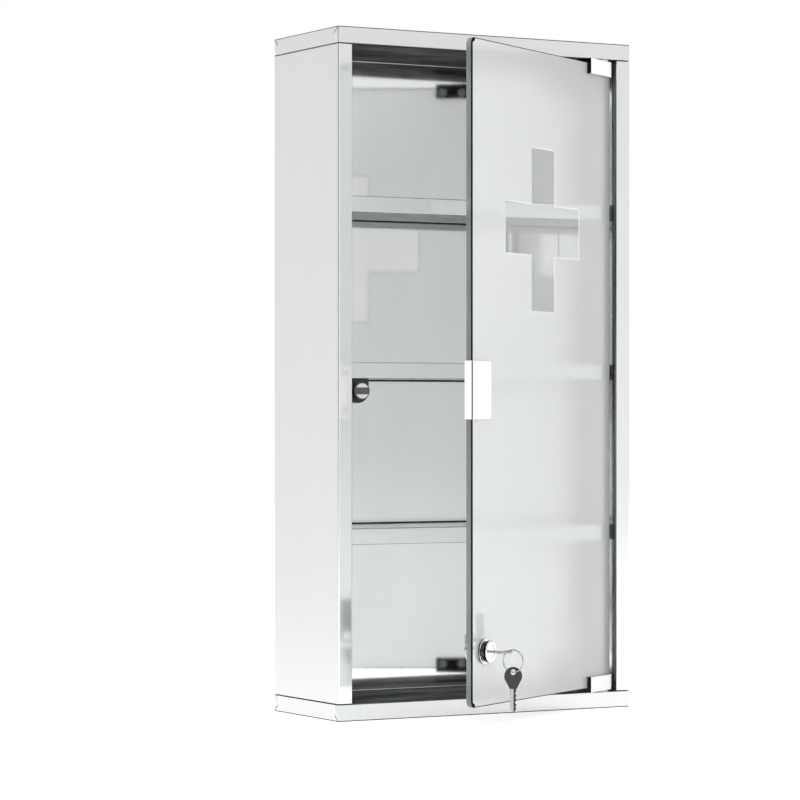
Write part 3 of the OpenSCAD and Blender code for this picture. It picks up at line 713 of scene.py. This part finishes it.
dressByFacing("door_handle", ["polished", "blasted", "fold"], handle["edge"], handleFinish)
dressByFacing("lock_body", ["chrome", "smoked"], lock["edge"], lockFinish)
for clipNode in ("top_hinge_clip", "bottom_hinge_clip"):
    dressByFacing(clipNode, ["chrome", "smoked", "blasted"], clip["edge"], clipFinish)
makeSpareBlade()
makeKeyHead("key_head", "wornHead", keyPair["lockFlat"])
makeKeyHead("spare_key_head", "keyHead", keyPair["spareFlat"])


studio = {
    "floorSize": 12.0,         # in m
    "floorGlow": 0.42,         # what the floor adds to its lit colour for the camera
    "floorGloss": (0.30, 0.12),    # the floor's white in metal, near the cabinet and far off
    "glossReach": (0.2, 1.1),      # from where to where it fades, in m from the cabinet
    "ambient": 0.8,
    "roomHeight": (-0.1, 0.16),    # metal sees the room fade between these directions' heights
    "roomWhite": (1.0, 0.79),      # from this white to this one
    "dimSides": [
        # direction, cosines to it where the dimming starts and ends, the white there
        ((-1, 0, 0), (0.80, 0.93), 0.04),      # a dark corner, mirrored beside the handle
        ((0.8, 0.6, 0), (0.62, 1.0), 0.78),    # the far side, so the back isn't all white
    ],
    "lamps": [
        # name, place in m, size in m, power in W
        ("keyLamp", (-1.6, -2.2, 2.4), 2.2, 38.0),
        ("fillLamp", (2.4, -1.6, 1.2), 2.0, 14.0),
    ],
    "aim": (0, 0, 0.3),
}
white = {"Color": linearOf("#ffffff")}


def makeFloor():
    bm = bmesh.new()
    bmesh.ops.create_grid(bm, x_segments=1, y_segments=1, size=studio["floorSize"] / 2)
    mesh = bpy.data.meshes.new("studioFloor")
    bm.to_mesh(mesh)
    bm.free()
    floor = bpy.data.objects.new("studioFloor", mesh)
    bpy.context.scene.collection.objects.link(floor)
    mesh.materials.append(materials["floor"])
    tree = materials["floor"].node_tree
    # white to the camera and through glass, greyer in metal, where a painted glow is brighter near the cabinet
    # than far off; it keeps the shadow
    path = addNode(tree, "ShaderNodeLightPath")
    seen = addNode(tree, "ShaderNodeMath", {"operation": "MAXIMUM"},
                   {0: path.outputs["Is Camera Ray"], 1: path.outputs["Is Transmission Ray"]})
    place = addNode(tree, "ShaderNodeTexCoord")
    away = addNode(tree, "ShaderNodeVectorMath", {"operation": "LENGTH"},
                   {"Vector": place.outputs["Object"]})
    fade = addNode(tree, "ShaderNodeMapRange",
                   {"From Min": studio["glossReach"][0], "From Max": studio["glossReach"][1],
                    "To Min": studio["floorGloss"][0], "To Max": studio["floorGloss"][1]},
                   {"Value": away.outputs["Value"]})
    inGloss = addNode(tree, "ShaderNodeMath", {"operation": "MULTIPLY"},
                      {0: path.outputs["Is Glossy Ray"], 1: fade.outputs["Result"]})
    sheen = addNode(tree, "ShaderNodeEmission", white, {"Strength": inGloss.outputs[0]})
    glow = addNode(tree, "ShaderNodeEmission", {**white, "Strength": studio["floorGlow"]})
    pick = addNode(tree, "ShaderNodeMixShader", {},
                   {0: seen.outputs[0], 1: sheen.outputs[0], 2: glow.outputs[0]})
    total = addNode(tree, "ShaderNodeAddShader", {},
                    {0: tree.nodes["Principled BSDF"].outputs[0], 1: pick.outputs[0]})
    tree.links.new(total.outputs[0], tree.nodes["Material Output"].inputs["Surface"])


def makeWorld():
    world = bpy.data.worlds.new("studioWorld")
    bpy.context.scene.world = world
    world.use_nodes = True
    tree = world.node_tree
    tree.nodes.clear()
    path = addNode(tree, "ShaderNodeLightPath")
    place = addNode(tree, "ShaderNodeTexCoord")
    # metal sees a pale room that is a little brighter low down and dimmer on two sides
    split = addNode(tree, "ShaderNodeSeparateXYZ", {}, {"Vector": place.outputs["Generated"]})
    slope = addNode(tree, "ShaderNodeMapRange",
                    {"From Min": studio["roomHeight"][0], "From Max": studio["roomHeight"][1],
                     "To Min": studio["roomWhite"][0], "To Max": studio["roomWhite"][1]},
                    {"Value": split.outputs["Z"]})
    room = slope.outputs["Result"]
    for direction, near, dimmest in studio["dimSides"]:
        toSide = addNode(tree, "ShaderNodeVectorMath", {"operation": "DOT_PRODUCT", 1: direction},
                         {0: place.outputs["Generated"]})
        dim = addNode(tree, "ShaderNodeMapRange",
                      {"From Min": near[0], "From Max": near[1], "To Min": 1.0,
                       "To Max": dimmest}, {"Value": toSide.outputs["Value"]})
        room = addNode(tree, "ShaderNodeMath", {"operation": "MULTIPLY"},
                       {0: room, 1: dim.outputs["Result"]}).outputs[0]
    ambient = addNode(tree, "ShaderNodeBackground", {**white, "Strength": studio["ambient"]})
    mirrored = addNode(tree, "ShaderNodeBackground", white, {"Strength": room})
    backdrop = addNode(tree, "ShaderNodeBackground", {**white, "Strength": 1.0})
    lit = addNode(tree, "ShaderNodeMixShader", {},
                  {0: path.outputs["Is Glossy Ray"], 1: ambient.outputs[0],
                   2: mirrored.outputs[0]})
    seen = addNode(tree, "ShaderNodeMath", {"operation": "MAXIMUM"},
                   {0: path.outputs["Is Camera Ray"], 1: path.outputs["Is Transmission Ray"]})
    whole = addNode(tree, "ShaderNodeMixShader", {},
                    {0: seen.outputs[0], 1: lit.outputs[0], 2: backdrop.outputs[0]})
    addNode(tree, "ShaderNodeOutputWorld", {}, {"Surface": whole.outputs[0]})


def makeLamp(name, place, size, power):
    data = bpy.data.lights.new(name, "AREA")
    data.shape = "SQUARE"
    data.size = size
    data.energy = power
    lamp = bpy.data.objects.new(name, data)
    lamp.location = place
    towards = Vector(studio["aim"]) - Vector(place)
    lamp.rotation_euler = towards.to_track_quat("-Z", "Y").to_euler()
    lamp.visible_glossy = False
    bpy.context.scene.collection.objects.link(lamp)


makeFloor()
makeWorld()
for row in studio["lamps"]:
    makeLamp(*row)
bpy.context.scene.view_settings.view_transform = "Standard"
print("studio done")
